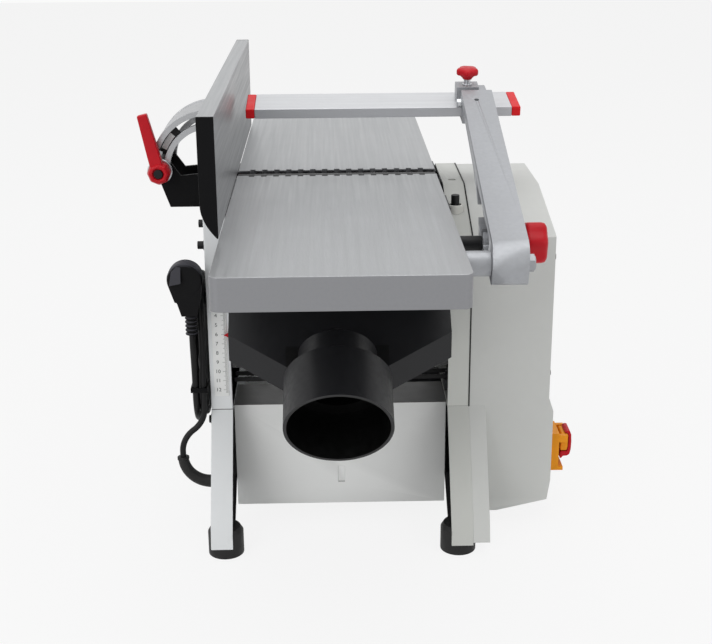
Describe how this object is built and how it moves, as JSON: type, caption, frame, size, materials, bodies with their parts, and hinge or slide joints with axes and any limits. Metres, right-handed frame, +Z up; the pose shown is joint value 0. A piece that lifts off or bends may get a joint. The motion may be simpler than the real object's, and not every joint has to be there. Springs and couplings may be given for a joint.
{
  "type": "combination planer thicknesser",
  "caption": "Bench planer thicknesser with long planing tables, tilting fence, bridge guard on a side arm, black dust hood, drive cover with switch, and a lifting thickness table.",
  "frame": {"origin": "on the floor, in the middle of the four feet", "axes": "+Y along the planing tables from outfeed to infeed, +X to the operator's side with the drive cover, +Z up"},
  "size_m": [0.4534, 0.759, 0.4672],
  "materials": {
    "panel_paint": "light grey satin paint on sheet steel",
    "cover_plastic": "light grey satin moulding",
    "table_metal": "satin machined aluminium",
    "steel": "turned steel",
    "cast_dark": "dark cast",
    "black_metal": "black paint",
    "black_plastic": "black moulding, slight sheen",
    "pale_plastic": "off-white",
    "red_plastic": "bright red moulding",
    "yellow_plastic": "yellow-orange moulding",
    "green_plastic": "green moulding",
    "brass": "turned brass",
    "rubber": "black rubber"
  },
  "bodies": {
    "frame": {"left_side_panel": "panel_paint", "right_side_panel": "panel_paint", "left_leg_frame": "panel_paint", "right_leg_frame": "panel_paint", "cross_panels": "panel_paint", "table_supports": "cast_dark", "rubber_feet": "rubber", "drive_cover": "cover_plastic", "panel_bolts": "black_metal", "cord_hook": "black_plastic", "outfeed_table": "table_metal", "cutterblock_bearings": "steel", "bearing_blocks": "cast_dark", "motor": "table_metal", "drive_belt": "rubber", "feed_gearbox": "table_metal", "drive_chains": "steel", "guide_posts": "steel", "lift_brackets": "cast_dark", "spindle_bush": "pale_plastic", "depth_scale": "pale_plastic", "dust_hood": "black_plastic", "fence_bracket": "black_metal", "fence_pins": "steel", "guard_pivot": "steel", "guard_lock_rod": "black_metal", "switch_base": "yellow_plastic", "strain_relief": "rubber", "power_cord": "rubber", "cord_hank": "rubber", "cord_tie": "black_plastic", "plug": "rubber"},
    "cutterblock": {"cutterblock": "steel", "cutter_knives": "steel", "knife_wedges": "steel", "cutterblock_pulley": "table_metal"},
    "motor_rotor": {"motor_pulley": "steel"},
    "feed_output": {"feed_output": "steel"},
    "infeed_roller": {"infeed_roller": "steel"},
    "outfeed_roller": {"outfeed_roller": "steel"},
    "thickness_table": {"thickness_table": "table_metal", "lead_nuts": "brass", "scale_pointer": "red_plastic"},
    "right_lead_screw": {"right_lead_screw": "steel"},
    "left_lead_screw": {"left_lead_screw": "steel"},
    "infeed_table": {"infeed_table": "table_metal"},
    "depth_screw": {"depth_screw": "black_plastic"},
    "fence": {"fence": "table_metal", "fence_caps": "black_plastic", "fence_quadrant": "table_metal"},
    "fence_lever": {"fence_lever": "red_plastic"},
    "guard_arm": {"guard_arm": "table_metal", "guard_clamp": "table_metal"},
    "guard_bar": {"guard_bar": "table_metal", "guard_bar_caps": "red_plastic"},
    "guard_star_knob": {"guard_star_knob": "red_plastic"},
    "guard_lock_knob": {"guard_lock_knob": "red_plastic"},
    "switch_flap": {"switch_flap": "red_plastic"},
    "start_button": {"start_button": "green_plastic"},
    "stop_button": {"stop_button": "red_plastic"}
  },
  "joints": [
    {"name": "cutterblock_spin", "type": "hinge", "parent": "frame", "child": "cutterblock", "pos_m": [0, 0.005, 0.33], "axis": [1, 0, 0], "continuous": true},
    {"name": "motor_spin", "type": "hinge", "parent": "frame", "child": "motor_rotor", "pos_m": [0, 0.02, 0.088], "axis": [1, 0, 0], "continuous": true},
    {"name": "feed_output_spin", "type": "hinge", "parent": "frame", "child": "feed_output", "pos_m": [0, 0.005, 0.282], "axis": [1, 0, 0], "continuous": true},
    {"name": "infeed_roller_spin", "type": "hinge", "parent": "frame", "child": "infeed_roller", "pos_m": [0, 0.043, 0.314], "axis": [1, 0, 0], "continuous": true},
    {"name": "outfeed_roller_spin", "type": "hinge", "parent": "frame", "child": "outfeed_roller", "pos_m": [0, -0.033, 0.314], "axis": [1, 0, 0], "continuous": true},
    {"name": "thickness_lift", "type": "slide", "parent": "frame", "child": "thickness_table", "axis": [0, 0, 1], "range_m": [-0.061, 0]},
    {"name": "right_screw_turn", "type": "hinge", "parent": "frame", "child": "right_lead_screw", "pos_m": [0.119, -0.068, 0.2], "axis": [0, 0, 1], "range_deg": [-5492, 2]},
    {"name": "left_screw_turn", "type": "hinge", "parent": "frame", "child": "left_lead_screw", "pos_m": [-0.119, -0.068, 0.2], "axis": [0, 0, 1], "range_deg": [-5492, 2]},
    {"name": "infeed_depth", "type": "slide", "parent": "frame", "child": "infeed_table", "axis": [0, 0, 1], "range_m": [-0.002, 0]},
    {"name": "depth_screw_turn", "type": "hinge", "parent": "infeed_table", "child": "depth_screw", "pos_m": [0, 0.3685, 0.337], "axis": [0, 1, 0], "range_deg": [-482, 2]},
    {"name": "fence_tilt", "type": "hinge", "parent": "frame", "child": "fence", "pos_m": [-0.132, 0.0375, 0.36], "axis": [0, -1, 0], "range_deg": [0, 45]},
    {"name": "fence_lever_turn", "type": "hinge", "parent": "frame", "child": "fence_lever", "pos_m": [-0.186, -0.009, 0.36], "axis": [0, -1, 0], "range_deg": [-35, 35]},
    {"name": "guard_tilt", "type": "hinge", "parent": "frame", "child": "guard_arm", "pos_m": [0.143, -0.29, 0.3405], "axis": [1, 0, 0], "range_deg": [-12, 6]},
    {"name": "guard_bar_slide", "type": "slide", "parent": "guard_arm", "child": "guard_bar", "axis": [1, 0, 0], "range_m": [-0.01, 0.14]},
    {"name": "guard_star_turn", "type": "hinge", "parent": "guard_arm", "child": "guard_star_knob", "pos_m": [0.1355, 0, 0.427], "axis": [0, -0.1392, 0.9903], "range_deg": [-360, 360]},
    {"name": "guard_lock_turn", "type": "hinge", "parent": "frame", "child": "guard_lock_knob", "pos_m": [0.17, -0.227, 0.3405], "axis": [1, 0, 0], "range_deg": [-360, 360]},
    {"name": "switch_flap_turn", "type": "hinge", "parent": "frame", "child": "switch_flap", "pos_m": [0.2355, -0.084, 0.09], "axis": [0, -1, 0], "range_deg": [0, 70]},
    {"name": "start_press", "type": "slide", "parent": "frame", "child": "start_button", "axis": [-1, 0, 0], "range_m": [0, 0.003], "stiffness_N_per_m": 400},
    {"name": "stop_press", "type": "slide", "parent": "frame", "child": "stop_button", "axis": [-1, 0, 0], "range_m": [0, 0.003], "stiffness_N_per_m": 400}
  ],
  "couplings": [
    {"joint": "motor_spin", "follows": "cutterblock_spin", "ratio": 1.3125},
    {"joint": "feed_output_spin", "follows": "cutterblock_spin", "ratio": -0.016667},
    {"joint": "infeed_roller_spin", "follows": "cutterblock_spin", "ratio": -0.016667},
    {"joint": "outfeed_roller_spin", "follows": "cutterblock_spin", "ratio": -0.016667},
    {"joint": "right_screw_turn", "follows": "thickness_lift", "rad_per_m": 1570.8},
    {"joint": "left_screw_turn", "follows": "thickness_lift", "rad_per_m": 1570.8},
    {"joint": "depth_screw_turn", "follows": "infeed_depth", "rad_per_m": 4188.8}
  ]
}
